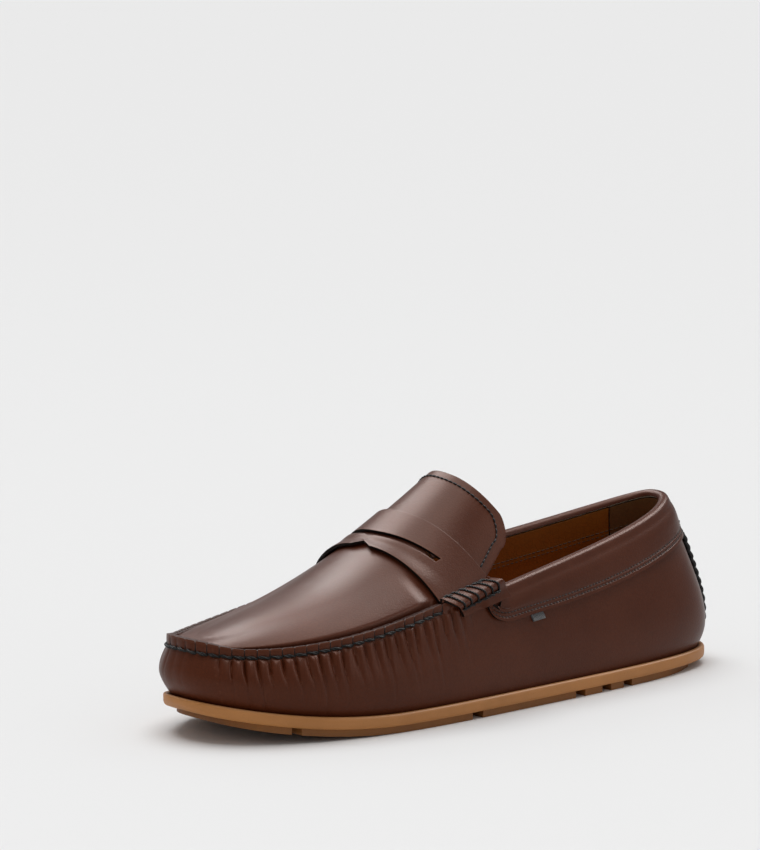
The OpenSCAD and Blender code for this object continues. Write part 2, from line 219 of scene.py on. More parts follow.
def at_drop(v, d):
    """The height t on the side wall at a distance d below the top edge."""
    v, d = np.broadcast_arrays(np.asarray(v, float), np.asarray(d, float))
    return np.array([np.interp(q, row[::-1], GRID_T[::-1]) for q, row in zip(d, DROP[drop_row(v)])])


def through(points, b):
    """Smooth curve through a list of stations, evenly spaced in b."""
    pts = np.stack(points)
    n = len(points) - 1
    q = np.clip(b, 0, 1) * n
    i = np.minimum(q.astype(int), n - 1)
    f = (q - i)[..., None]
    k = np.arange(b.shape[0])
    p0, p1 = pts[np.maximum(i - 1, 0), k], pts[i, k]
    p2, p3 = pts[i + 1, k], pts[np.minimum(i + 2, n), k]
    return 0.5 * (2 * p1 + (p2 - p0) * f + (2 * p0 - 5 * p1 + 4 * p2 - p3) * f * f
                  + (3 * p1 - p0 - 3 * p2 + p3) * f ** 3)


# ---------------------------------------------------------------- materials
def clear(name):
    mat = bpy.data.materials.new(name)
    mat.use_nodes = True
    tree = mat.node_tree
    tree.nodes.clear()
    out = tree.nodes.new("ShaderNodeOutputMaterial")
    bsdf = tree.nodes.new("ShaderNodeBsdfPrincipled")
    tree.links.new(bsdf.outputs[0], out.inputs[0])
    return mat, tree, bsdf


def node(tree, kind, **values):
    n = tree.nodes.new(kind)
    for key, value in values.items():
        if hasattr(n, key):
            setattr(n, key, value)
        else:
            n.inputs[key.replace("_", " ")].default_value = value
    return n


def group(name, inputs, outputs):
    g = bpy.data.node_groups.new(name, "ShaderNodeTree")
    for label, kind, value in inputs:
        s = g.interface.new_socket(name=label, in_out="INPUT", socket_type="NodeSocket" + kind)
        s.default_value = value
    for label, kind in outputs:
        g.interface.new_socket(name=label, in_out="OUTPUT", socket_type="NodeSocket" + kind)
    return g, g.nodes.new("NodeGroupInput"), g.nodes.new("NodeGroupOutput")


def blend_colours(tree, fac, a, b):
    m = tree.nodes.new("ShaderNodeMix")
    m.data_type = "RGBA"
    for socket, value in ((m.inputs[0], fac), (m.inputs[6], a), (m.inputs[7], b)):
        if hasattr(value, "is_output"):
            tree.links.new(value, socket)
        elif isinstance(value, (int, float)):
            socket.default_value = value
        else:
            socket.default_value = (*value, 1)
    return m.outputs[2]


def scale_value(tree, socket, low, high, to_low, to_high):
    m = node(tree, "ShaderNodeMapRange", From_Min=low, From_Max=high, To_Min=to_low, To_Max=to_high)
    tree.links.new(socket, m.inputs[0])
    return m.outputs[0]


def grain_group():
    """Hide grain: fine pores, wider creases and slow patches, all on Object coordinates."""
    g, i, o = group("hide_grain", [("Pore", "Float", 1500.0), ("Patch", "Float", 22.0)],
                    [("Height", "Float"), ("Patches", "Float"), ("Creases", "Float")])
    where = g.nodes.new("ShaderNodeTexCoord")
    pore = node(g, "ShaderNodeTexVoronoi", feature="F1", Randomness=1.0)
    fine = node(g, "ShaderNodeTexNoise", Detail=4.0, Roughness=0.6)
    patch = node(g, "ShaderNodeTexNoise", Detail=3.0, Roughness=0.55)
    crease = node(g, "ShaderNodeTexVoronoi", feature="DISTANCE_TO_EDGE", Randomness=1.0)
    wide = node(g, "ShaderNodeMath", operation="MULTIPLY")
    wide.inputs[1].default_value = 0.35
    g.links.new(i.outputs[0], wide.inputs[0])
    for t in (pore, fine, patch, crease):
        g.links.new(where.outputs["Object"], t.inputs["Vector"])
    g.links.new(i.outputs[0], pore.inputs["Scale"])
    g.links.new(i.outputs[0], fine.inputs["Scale"])
    g.links.new(wide.outputs[0], crease.inputs["Scale"])
    g.links.new(i.outputs[1], patch.inputs["Scale"])
    edge_low = scale_value(g, crease.outputs["Distance"], 0.0, 0.12, 0.0, 1.0)
    a = node(g, "ShaderNodeMath", operation="MULTIPLY_ADD")
    a.inputs[1].default_value = 0.5
    g.links.new(pore.outputs["Distance"], a.inputs[0])
    g.links.new(fine.outputs["Fac"], a.inputs[2])
    b = node(g, "ShaderNodeMath", operation="MULTIPLY_ADD")
    b.inputs[1].default_value = 0.35
    g.links.new(edge_low, b.inputs[0])
    g.links.new(a.outputs[0], b.inputs[2])
    g.links.new(b.outputs[0], o.inputs[0])
    g.links.new(patch.outputs["Fac"], o.inputs[1])
    g.links.new(edge_low, o.inputs[2])
    return g


def place_group(tree, g, **values):
    n = tree.nodes.new("ShaderNodeGroup")
    n.node_tree = g
    for key, value in values.items():
        n.inputs[key].default_value = value
    return n


def bump(tree, bsdf, height, distance):
    b = node(tree, "ShaderNodeBump", Strength=1.0, Distance=distance)
    tree.links.new(height, b.inputs["Height"])
    tree.links.new(b.outputs[0], bsdf.inputs["Normal"])


GRAIN = grain_group()
NOISE = (0.3, 0.7)    # the range that a noise texture mostly stays in


def hide(name, dark, mid, rough, pore=1500.0, depth=0.00004, painted_edge_highlight=None, spec=0.5, tint=(1, 1, 1)):
    """Finished leather: slow patches of tone, darker creases, and a painted highlight that lightens the sharp
    convex edges.
    """
    mat, tree, bsdf = clear(name)
    g = place_group(tree, GRAIN, Pore=pore)
    patches = g.outputs["Patches"]
    col = blend_colours(tree, scale_value(tree, patches, *NOISE, 0.0, 1.0), dark, mid)
    crease = scale_value(tree, g.outputs["Creases"], 0, 1, 0.25, 0.0)
    col = blend_colours(tree, crease, col, [c * 0.45 for c in mid])
    if painted_edge_highlight:
        # painted highlight: sharp convex edges, found by pointiness, are lightened as if catching the light
        geo = tree.nodes.new("ShaderNodeNewGeometry")
        edge_highlight_mask = scale_value(tree, geo.outputs["Pointiness"], 0.53, 0.62, 0.0, 0.6)
        col = blend_colours(tree, edge_highlight_mask, col, painted_edge_highlight)
    tree.links.new(col, bsdf.inputs["Base Color"])
    tree.links.new(scale_value(tree, patches, *NOISE, rough - 0.04, rough + 0.05), bsdf.inputs["Roughness"])
    bsdf.inputs["Specular IOR Level"].default_value = spec
    bsdf.inputs["Specular Tint"].default_value = (*tint, 1)
    bump(tree, bsdf, g.outputs["Height"], depth)
    return mat


def spun(name, dark, light, rough=0.65, spec=0.35):
    """Waxed or matt thread: fine fibre streaks."""
    mat, tree, bsdf = clear(name)
    where = tree.nodes.new("ShaderNodeTexCoord")
    fibre = node(tree, "ShaderNodeTexNoise", Scale=2400.0, Detail=3.0, Roughness=0.7)
    tree.links.new(where.outputs["Object"], fibre.inputs["Vector"])
    tone = scale_value(tree, fibre.outputs["Fac"], *NOISE, 0.0, 1.0)
    tree.links.new(blend_colours(tree, tone, dark, light), bsdf.inputs["Base Color"])
    bsdf.inputs["Roughness"].default_value = rough
    bsdf.inputs["Specular IOR Level"].default_value = spec
    bump(tree, bsdf, fibre.outputs["Fac"], 0.00008)
    return mat


def moulded(name, dark, light, rough, scuff):
    """Rubber, board or foam: cloudy colour with dark specks."""
    mat, tree, bsdf = clear(name)
    bsdf.inputs["Specular IOR Level"].default_value = 0.3
    where = tree.nodes.new("ShaderNodeTexCoord")
    cloud = node(tree, "ShaderNodeTexNoise", Scale=45.0, Detail=5.0, Roughness=0.6)
    skin = node(tree, "ShaderNodeTexNoise", Scale=1800.0, Detail=2.0, Roughness=0.6)
    speck = node(tree, "ShaderNodeTexVoronoi", Scale=420.0)
    for t in (cloud, skin, speck):
        tree.links.new(where.outputs["Object"], t.inputs["Vector"])
    tone = scale_value(tree, cloud.outputs["Fac"], *NOISE, 0.0, 1.0)
    col = blend_colours(tree, tone, dark, light)
    col = blend_colours(tree, scale_value(tree, speck.outputs["Distance"], 0.0, 0.18, scuff, 0.0), col,
                        [c * 0.4 for c in dark])
    tree.links.new(col, bsdf.inputs["Base Color"])
    gloss = scale_value(tree, cloud.outputs["Fac"], *NOISE, rough - 0.06, rough + 0.06)
    tree.links.new(gloss, bsdf.inputs["Roughness"])
    bump(tree, bsdf, skin.outputs["Fac"], 0.00005)
    return mat


def napped(name, dark, light):
    """Suede: short nap with brushed patches."""
    mat, tree, bsdf = clear(name)
    where = tree.nodes.new("ShaderNodeTexCoord")
    nap = node(tree, "ShaderNodeTexNoise", Scale=900.0, Detail=6.0, Roughness=0.75)
    brushed = node(tree, "ShaderNodeTexNoise", Scale=60.0, Detail=4.0, Roughness=0.6)
    for t in (nap, brushed):
        tree.links.new(where.outputs["Object"], t.inputs["Vector"])
    col = blend_colours(tree, scale_value(tree, nap.outputs["Fac"], *NOISE, 0, 1), dark, light)
    col = blend_colours(tree, scale_value(tree, brushed.outputs["Fac"], 0.35, 0.65, 0.0, 0.5), col, light)
    tree.links.new(col, bsdf.inputs["Base Color"])
    bsdf.inputs["Roughness"].default_value = 0.92
    bsdf.inputs["Specular IOR Level"].default_value = 0.1
    bsdf.inputs["Sheen Weight"].default_value = 0.1
    bump(tree, bsdf, nap.outputs["Fac"], 0.0002)
    return mat


def woven(name, warp, weft, pitch):
    """Plain weave on the piece's own UV, which is in metres."""
    mat, tree, bsdf = clear(name)
    uv = tree.nodes.new("ShaderNodeUVMap")
    waves = []
    for axis in ("X", "Y"):
        w = node(tree, "ShaderNodeTexWave", wave_type="BANDS", bands_direction=axis, Scale=0.314 / pitch)
        tree.links.new(uv.outputs[0], w.inputs["Vector"])
        waves.append(w.outputs["Fac"])
    m = node(tree, "ShaderNodeMath", operation="MAXIMUM")
    tree.links.new(waves[0], m.inputs[0])
    tree.links.new(waves[1], m.inputs[1])
    col = blend_colours(tree, waves[0], warp, weft)
    tree.links.new(col, bsdf.inputs["Base Color"])
    bsdf.inputs["Roughness"].default_value = 0.8
    bsdf.inputs["Sheen Weight"].default_value = 0.3
    bump(tree, bsdf, m.outputs[0], 0.0002)
    return mat


# brown leather; its edge colour is a painted highlight on sharp convex edges
LEATHER = hide("brown_leather", (0.062, 0.0130, 0.0040), (0.084, 0.0190, 0.0064), 0.36,
               painted_edge_highlight=(0.10, 0.030, 0.014), spec=0.20, tint=(1, 0.76, 0.66))
RAW_EDGE = hide("raw_edge", (0.035, 0.010, 0.005), (0.055, 0.017, 0.009), 0.6, depth=0.00008, spec=0.2)
# near black: the cut edge's own dark dye, with the shadow in the gap under the strap's and collar's edges painted
# in as well
EDGE_AND_SHADOW = hide("burnished_edge_painted_shadow", (0.006, 0.003, 0.002), (0.012, 0.006, 0.004), 0.7, depth=0.00008, spec=0.12)
LINING = hide("tan_lining", (0.27, 0.078, 0.005), (0.34, 0.104, 0.008), 0.62,
              pore=1100.0, depth=0.00006, spec=0.15)
SUEDE = napped("brown_suede", (0.11, 0.044, 0.012), (0.20, 0.085, 0.026))
GUM = moulded("gum_rubber", (0.42, 0.175, 0.048), (0.50, 0.215, 0.064), 0.5, 0.25)
# the tread pads are the same gum rubber as the cup; this darker copy is painted shade, for the shadow under the
# sole
SHADED_GUM = moulded("gum_rubber_painted_shade", (0.19, 0.070, 0.014), (0.26, 0.100, 0.022), 0.6, 0.35)
BLACK_THREAD = spun("black_waxed_thread", (0.003, 0.0025, 0.0022), (0.012, 0.0105, 0.010), 0.5, spec=0.2)
BROWN_THREAD = spun("brown_thread", (0.016, 0.008, 0.006), (0.05, 0.026, 0.018))
TAN_THREAD = spun("tan_thread", (0.07, 0.026, 0.006), (0.16, 0.07, 0.02))
BOARD = moulded("fibre_board", (0.30, 0.22, 0.13), (0.42, 0.32, 0.2), 0.85, 0.5)
FOAM = moulded("open_foam", (0.62, 0.56, 0.42), (0.74, 0.68, 0.54), 0.9, 0.6)
RIBBON = woven("plain_ribbon", (0.020, 0.024, 0.036), (0.16, 0.15, 0.14), 0.0005)

CAD_LOOKS = {"tread_pads": SHADED_GUM, "sole_filler": BOARD, "insole_board": BOARD, "footbed_foam": FOAM,
             "toe_puff": BOARD, "heel_counter": BOARD, "collar_foam": FOAM}


# ---------------------------------------------------------------- making pieces
def settle(obj, nodes, look, body="shoe", cut=None):
    """A finished mesh takes its finish, its body and the CAD nodes it stands for."""
    mats = obj.data.materials
    while len(mats) < 2:
        mats.append(look)
    mats[0], mats[1] = look, cut or look
    for f in obj.data.polygons:
        f.use_smooth = True
    nodes = [nodes] if isinstance(nodes, str) else nodes
    if body:
        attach(obj, body)
    if nodes:
        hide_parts(*nodes)
    return obj


def add(name, mesh):
    obj = bpy.data.objects.new(name, mesh)
    bpy.context.scene.collection.objects.link(obj)
    return obj


def baked(obj):
    """Applies the modifiers so that the mesh is final."""
    bpy.context.view_layer.update()
    deps = bpy.context.evaluated_depsgraph_get()
    mesh = bpy.data.meshes.new_from_object(obj.evaluated_get(deps))
    obj.modifiers.clear()
    old = obj.data
    obj.data = mesh
    bpy.data.meshes.remove(old)
    return obj


def leaf(name, along, over, shape, thick=0.0, flip=False, cut=None, weld=0.0, soften=0.0, angle=50):
    """A sheet drawn from a grid: shape(a, b) gives its outer face in mm, thick goes inwards."""
    bm = bmesh.new()
    bmesh.ops.create_grid(bm, x_segments=along, y_segments=over, size=0.5)
    uv = bm.loops.layers.uv.new("UVMap")
    co = np.array([v.co[:2] for v in bm.verts]) + 0.5
    for f in bm.faces:
        for loop in f.loops:
            a, b = loop.vert.co.x + 0.5, loop.vert.co.y + 0.5
            loop[uv].uv = (a, b)
    if cut is not None:
        gone = [f for f in bm.faces if cut(f.calc_center_median().x + 0.5, f.calc_center_median().y + 0.5)]
    place = shape(co[:, 0], co[:, 1]) * MM
    for v, p in zip(bm.verts, place):
        v.co = p
    if cut is not None:
        bmesh.ops.delete(bm, geom=gone, context="FACES")
    if weld:
        bmesh.ops.remove_doubles(bm, verts=bm.verts, dist=weld * MM)
    if flip:
        bmesh.ops.reverse_faces(bm, faces=bm.faces)
    mesh = bpy.data.meshes.new(name)
    bm.to_mesh(mesh)
    bm.free()
    for look in (LEATHER, EDGE_AND_SHADOW):
        mesh.materials.append(look)
    obj = add(name, mesh)
    if thick:
        m = obj.modifiers.new("thickness", "SOLIDIFY")
        m.thickness = thick * MM
        m.offset = -1
        m.material_offset_rim = 1
    if soften:
        m = obj.modifiers.new("softened", "BEVEL")
        m.width = soften * MM
        m.segments = 2
        m.limit_method = "ANGLE"
        m.angle_limit = math.radians(angle)
        m.use_clamp_overlap = True
    return baked(obj) if thick or soften else obj


def cords(name, lines, radius, sides=1, taper=False):
    """Round threads along lists of points in mm, joined in one mesh."""
    c = bpy.data.curves.new(name, "CURVE")
    c.dimensions = "3D"
    c.bevel_depth = radius * MM
    c.bevel_resolution = sides
    c.use_fill_caps = True
    for line in lines:
        s = c.splines.new("POLY")
        s.points.add(len(line) - 1)
        s.points.foreach_set("co", np.c_[np.asarray(line) * MM, np.ones(len(line))].ravel())
        if taper:
            n = len(line)
            swell = [0.55 + 0.45 * math.sin(math.pi * i / (n - 1)) ** 0.5 for i in range(n)]
            s.points.foreach_set("radius", swell)
    tmp = bpy.data.objects.new(name + "_path", c)
    bpy.context.scene.collection.objects.link(tmp)
    bpy.context.view_layer.update()
    mesh = bpy.data.meshes.new_from_object(tmp.evaluated_get(bpy.context.evaluated_depsgraph_get()))
    bpy.data.objects.remove(tmp)
    bpy.data.curves.remove(c)
    mesh.name = name
    return add(name, mesh)


def even(points, normals, step):
    """Points along a line at an even step, with their normals and arc length."""
    seg = np.linalg.norm(np.diff(points, axis=0), axis=1)
    s = np.concatenate([[0], np.cumsum(seg)])
    n = max(2, int(round(s[-1] / step)) + 1)
    q = np.linspace(0, s[-1], n)
    p = np.stack([np.interp(q, s, points[:, k]) for k in range(3)], 1)
    o = np.stack([np.interp(q, s, normals[:, k]) for k in range(3)], 1)
    return p, o / np.linalg.norm(o, axis=1, keepdims=True), q


def run_stitches(points, normals, length, gap, sink, rise, fine=6):
    """Lines of single stitches that come out of the leather and go back in."""
    p, o, q = even(points, normals, 0.1)
    total, out = q[-1], []
    count = int(total / (length + gap))
    pitch = total / count
    for k in range(count):
        s = np.linspace(k * pitch + gap / 2, (k + 1) * pitch - gap / 2, fine)
        h = -sink + (sink + rise) * np.sin(np.pi * np.linspace(0, 1, fine)) ** 0.6
        at = np.stack([np.interp(s, q, p[:, j]) for j in range(3)], 1)
        nn = np.stack([np.interp(s, q, o[:, j]) for j in range(3)], 1)
        out.append(at + nn * h[:, None])
    return out


def twisted(points, normals, strands, spread, pitch):
    """Strands laid round a line."""
    p, o, q = even(points, normals, 0.35)
    t = np.gradient(p, axis=0)
    t /= np.linalg.norm(t, axis=1, keepdims=True)
    w = np.cross(t, o)
    w /= np.linalg.norm(w, axis=1, keepdims=True)
    lines = []
    for k in range(strands):
        a = 2 * np.pi * (q / pitch + k / strands)
        lines.append(p + spread * (np.cos(a)[:, None] * o + np.sin(a)[:, None] * w))
    return lines


# ---------------------------------------------------------------- sole
def cup_sole():
    """Moulded cup: rounded rim, chamfered under the toe, floor inside."""
    prof = [(7.5, PAD), (1.9, PAD), (0.95, PAD + 0.2), (0.38, PAD + 0.75), (0.12, PAD + 1.6), (0.05, PAD + 2.6),
            (0.05, RIM_TOP - 1.2), (0.25, RIM_TOP - 0.5), (0.75, RIM_TOP - 0.08), (1.2, RIM_TOP),
            (2.2, RIM_TOP - 0.05), (2.75, RIM_TOP - 0.35), (RIM_T, RIM_TOP - 1.0), (RIM_T, CUP), (9.0, CUP)]
    ins, hgt = np.array(prof).T

    def shape(a, b):
        q = b * (len(prof) - 1)
        z = np.interp(q, range(len(prof)), hgt)
        chamfer = 2.6 * ease(0.9, 1, fold_v(a * 2)[0]) * np.clip((PAD + 2.8 - z) / 2.8, 0, 1) * (q < 7)
        return sole(a * 2, np.interp(q, range(len(prof)), ins) + chamfer, z)
    cup = leaf("outsole_cup", 360, 3 * (len(prof) - 1), shape, weld=0.02, flip=True)
    bm = bmesh.new()
    bm.from_mesh(cup.data)
    rims = [e for e in bm.edges if e.is_boundary]
    bmesh.ops.triangle_fill(bm, edges=rims, use_beauty=True)
    bmesh.ops.recalc_face_normals(bm, faces=bm.faces)
    bm.to_mesh(cup.data)
    bm.free()
    settle(cup, "outsole", GUM)


def sole_parts():
    for name, look in CAD_LOOKS.items():
        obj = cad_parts[name]
        obj.data.materials.clear()
        obj.data.materials.append(look)
    cup_sole()


# ---------------------------------------------------------------- upper
def wrap_top(v):
    return 0.92 + 0.08 * ease(0.486, 0.53, fold_v(v)[0])


def ridge_rise(v):
    """The raised seam stands highest round the toe."""
    return RIDGE * (1 + 0.35 * ease(0.84, 0.94, fold_v(v)[0]))


def wrap_lift(v):
    return 0.2 + (ridge_rise(v) - 0.2) * ease(0.486, 0.535, fold_v(v)[0])


SEAM_AT = np.linspace(0, 2, 4001)
SEAM_S = np.concatenate([[0], np.cumsum(np.linalg.norm(np.diff(edge(SEAM_AT), axis=0), axis=1))])
SEAM_FROM, SEAM_TO = 0.552, 1.448      # ends of the raised seam's thread
STITCH = 5.6           # pitch of its stitches
SEAM_V = 0.028         # the back seam and its braid


def seam_s(v):
    """Arc length along the top edge, so that pleats and stitches agree."""
    return np.interp(np.mod(v, 2), SEAM_AT, SEAM_S)


RNG = np.random.default_rng(11)
PLEATS = 400           # more than enough for the whole way round
PLEAT_LONG = RNG.uniform(0.5, 1.4, PLEATS)
PLEAT_DEEP = RNG.uniform(0.45, 1.35, PLEATS)
PLEAT_SLANT = RNG.uniform(-1.0, 1.0, PLEATS)


def stitch_phase(v):
    """0 at the middle of a stitch of the raised seam, 1 at its ends."""
    q = seam_s(v) / STITCH
    return np.abs(q - np.floor(q) - 0.5) * 2


def pleats(v, down):
    """Gathers under the seam: puffs between narrow valleys, dying away down the side."""
    u, _ = fold_v(v)
    q = seam_s(v) / STITCH
    k = np.clip(np.floor(q + 0.5).astype(int), 0, PLEATS - 1)
    q = q + 0.012 * down * PLEAT_SLANT[k]
    f = np.abs(q - np.floor(q) - 0.5) * 2
    j = np.clip(np.floor(q).astype(int), 0, PLEATS - 1)
    reach = 9.0 + 7.0 * (PLEAT_LONG[k] * f + PLEAT_LONG[j] * (1 - f) - 0.6)
    where = ease(0.51, 0.55, u) * (1 - 0.9 * ease(0.84, 0.93, u))
    fade = np.exp(-(np.maximum(down - 1.5, 0) / reach) ** 1.5) * (1 - np.exp(-np.maximum(down, 0) / 1.2))
    valley = -1.5 * f ** 6 * PLEAT_DEEP[k] + 1.25 * (1 - f ** 2) * PLEAT_DEEP[j]
    soft = 0.35 * np.sin(seam_s(v) / 9.7 + 1.3) * np.sin(down / 6.5)
    soft = soft * ease(0.55, 0.62, u) * (1 - ease(0.75, 0.88, u))
    return where * (fade * valley + soft * np.exp(-(down / 22) ** 2))


def wrap_station(a):
    """Columns lie close together where the leather is gathered; the two ends meet under the braid."""
    half = np.interp(np.minimum(a, 1 - a) * 2, [0, 0.17, 0.93, 1], [0, 0.5, 0.92, 1])
    half = half + (np.where(a <= 0.5, SEAM_V, -SEAM_V) + 0.0008) * np.clip(1 - 2 * half, 0, 1)
    return np.mod(np.where(a <= 0.5, half, 2 - half), 2)


def wrap_shape(a, b):
    """b runs from the flange under the insole, up the side wall, to the lip of the raised seam."""
    v = wrap_station(a)
    g, r = wrap_top(v), wrap_lift(v)
    n_low, n_high = 0.08, 0.88
    q = np.clip((b - n_low) / (n_high - n_low), 0, 1)
    t = np.interp(q, [0, 0.2, 1], [0, 0.3, 1]) * g
    e = out_of(edge, v)
    body = wall(v, t, pleats(v, drop(v, t) - drop(v, g)))
    low1, low0 = sole(v, RIM_T + 0.5 + 0 * v, CUP + 0.3), sole(v, 11.5 + 0 * v, CUP + 0.3)
    q = np.clip(b / n_low, 0, 1)[:, None]
    under = np.where(q < 0.6, low0 + (low1 - low0) * (q / 0.6), low1 + (body - low1) * ((q - 0.6) / 0.4))
    h = np.clip((b - n_high) / (1 - n_high), 0, 1)
    seamed = ease(0.53, 0.56, fold_v(v)[0])
    dent = stitch_phase(v) ** 14 * seamed
    swell = (1 - stitch_phase(v) ** 2) * seamed
    sunk = 0.5 * dent * np.sin(np.pi * np.clip(h, 0, 0.9)) - 0.22 * swell * np.sin(np.pi * h) - 0.15 * seamed * h
    lip = body + UP * (r * h * (1 - 0.2 * dent * h))[:, None] - e * sunk[:, None]
    return np.where((b < n_low)[:, None], under, np.where((b > n_high)[:, None], lip, body))


def upper_wrap():
    obj = leaf("vamp_wrap_leather", 760, 58, wrap_shape, thick=WRAP_T, flip=True, soften=0.3, angle=70)
    settle(obj, "vamp_wrap", LEATHER, cut=RAW_EDGE)


def plump(v, f):
    """The apron swells beside the seam, and lies flat where the strap covers it."""
    s = fold_v(v)[1] * (1 - f)
    return 1.8 * (1 - ease(0.1, 0.5, f)) * ease(2, 11, edge(v)[..., 0] - line(FRONT, s))


SEAM_IN = WRAP_T + 0.25 + APRON_T      # from the outside of the raised seam to the inside
LIP = 0.14             # share of the apron's grid that stands up in the seam


def apron_shape(a, b):
    """b runs down the upturned lip, round its foot and across to the middle line."""
    v = 0.548 + a * 0.904
    foot = edge(v) - out_of(edge, v) * SEAM_IN
    lip = foot + UP * (ridge_rise(v) - 0.2 - 0.8 * stitch_phase(v) ** 14)[:, None]
    f0 = 0.11
    f = np.maximum(f0, f0 + (b - LIP) / (1 - LIP) * (1 - f0))
    low = across(v, f0 * 0.98, 0.05 + plump(v, f0))
    pts = [lip, lip + (foot - lip) * 0.3, foot + UP * 2.3, 0.5 * (foot + low) + UP * 0.9, low,
           across(v, 0.16, plump(v, 0.16))]
    turned = through(pts, np.clip(b / LIP, 0, 1) * 0.8)
    return np.where((b < LIP)[:, None], turned, across(v, f, plump(v, f)))


def apron_top():
    obj = leaf("apron_leather", 420, 64, apron_shape, thick=APRON_T, flip=True, weld=0.05, soften=0.25, angle=70)
    settle(obj, "apron", LEATHER, cut=RAW_EDGE)


def plump_stitches(points, normals, pitch, radius, phase=0.0, slant=0.35, rise=0.5, sink=0.7, ends=0.1):
    """Heavy stitches: each is a short two-ply length that leaves the leather, swells and goes back in."""
    p, o, q = even(points, normals, 0.1)
    t = np.gradient(p, axis=0)
    t /= np.linalg.norm(t, axis=1, keepdims=True)
    w = np.cross(t, o)
    w /= np.linalg.norm(w, axis=1, keepdims=True)
    lines = []
    for k in range(int((q[-1] + phase) / pitch)):
        f = np.linspace(-ends, 1 + ends, 11)
        at = (k + f) * pitch - phase
        if at[0] < -pitch * 0.3 or at[-1] > q[-1] + pitch * 0.3:
            continue
        c, oo, ww = (np.stack([np.interp(at, q, m[:, j]) for j in range(3)], 1) for m in (p, o, w))
        bow = np.sin(np.pi * (f + ends) / (1 + 2 * ends))
        c = c + oo * (-sink + (sink + rise) * bow ** 0.6)[:, None] + ww * (slant * (f - 0.5) * 2)[:, None]
        for j in range(2):
            ang = (2 * np.pi * (f * 0.7 + j / 2) + k)[:, None]
            lines.append(c + radius * 0.7 * bow[:, None] ** 0.5 * (np.cos(ang) * oo + np.sin(ang) * ww))
    return lines


def moc_seam():
    """Heavy waxed thread along the foot of the ridge, with a loop over the ridge at each stitch end."""
    v = np.linspace(SEAM_FROM, SEAM_TO, 1600)
    start, end = (float(seam_s(np.array([w]))[0]) for w in (SEAM_FROM, SEAM_TO))
    p, n = edge(v) + out_of(edge, v) * 0.4 + UP * 0.5, out_of(edge, v) + UP * 0.15
    thread = 0.52
    lines = plump_stitches(p, n, STITCH, thread, start % STITCH, slant=0.4, rise=0.15, sink=0.95, ends=0.06)
    rope = cords("moc_seam_thread", lines, thread, sides=1, taper=True)
    # each loop, outside to inside: how far in from the edge and how far up, with the ridge at RIDGE
    route = [(0.12, 1.6), (0.22, 2.6), (0.05, 3.4), (0.7, 3.75), (SEAM_IN - 0.7, 3.7), (SEAM_IN, 3.0),
             (SEAM_IN + 0.1, 1.9)]
    loops = []
    for k in range(int(start / STITCH) + 1, int(end / STITCH) + 1):
        vv = np.array([np.interp(k * STITCH, SEAM_S, SEAM_AT)])
        e, o, h = edge(vv)[0], out_of(edge, vv)[0], UP * ridge_rise(vv)[0] / RIDGE
        loops.append([e + o * 0.25 + UP * 0.5] + [e - o * far + h * high for far, high in route])
    over = cords("moc_seam_loops", loops, 0.24, sides=1)
    settle(rope, "moc_thread", BLACK_THREAD)
    settle(over, None, BLACK_THREAD)


def line(c, s):
    """x of a line across the instep, s -1 to 1: c is its x in the middle and how far it sweeps back at the ends."""
    return c[0] - c[1] * s * s - 4 * s


FRONT, REAR, SLOT, TONGUE_END = (46.2, 9.0), (23.0, 17.0), (37.8, 20.0), (-2.8, 19.5)
NOTCH, SLOT_W, SLOT_END = 2.4, 3.0, 0.68
TAIL_F, TAIL_R = [34.5, 29.5, 24.5, 23.5], [4.5, 1, -2.6, -5]      # x of the rolled end's corners, going down
S_END, FLAT = 0.93, 0.78       # where the roll starts: across the instep, and as a share of the strap's grid


def tail(q, m, g, off):
    """Rolled end of the strap, q 0 to 3: over the ridge, round the roll, in under the lower row, the cut end."""
    x = TAIL_F[q] + (TAIL_R[q] - TAIL_F[q]) * g + (7 if m < 0 else 0)
    v = station(x) if m > 0 else 2 - station(x)
    e, n = edge(v), out_of(edge, v)
    g = np.asarray(g, float)[:, None]
    if q == 0:
        return e + UP * (RIDGE + 0.8 + off) - n * 0.6
    if q == 1:
        return e + n * (3.2 + off) + UP * (1.6 + 3 * g + 0.4 * off)
    t, lift = (0.955, 2.4) if q == 2 else (0.9, 0.8)
    return wall(v, t, 0.35 + 1.5 * ease(0.35, 0.55, g[:, 0]) + off) + UP * lift * g


def strap_rows(s, g):
    """x of a strap point: g 0 front edge, .44 and .56 the slot's lips, 1 rear edge."""
    front = line(FRONT, s) - NOTCH * np.maximum(0, 1 - np.abs(s) / 0.13)
    lip_f = line(SLOT, s) + SLOT_W / 2 + 1.3 * np.maximum(0, 1 - np.abs(s + 0.03) / 0.07)
    lip_r = line(SLOT, s) - SLOT_W / 2
    rear = line(REAR, s)
    return np.where(g < 0.44, front + (lip_f - front) * g / 0.44,
                    np.where(g < 0.56, lip_f + (lip_r - lip_f) * (g - 0.44) / 0.12,
                             lip_r + (rear - lip_r) * (g - 0.56) / 0.44))


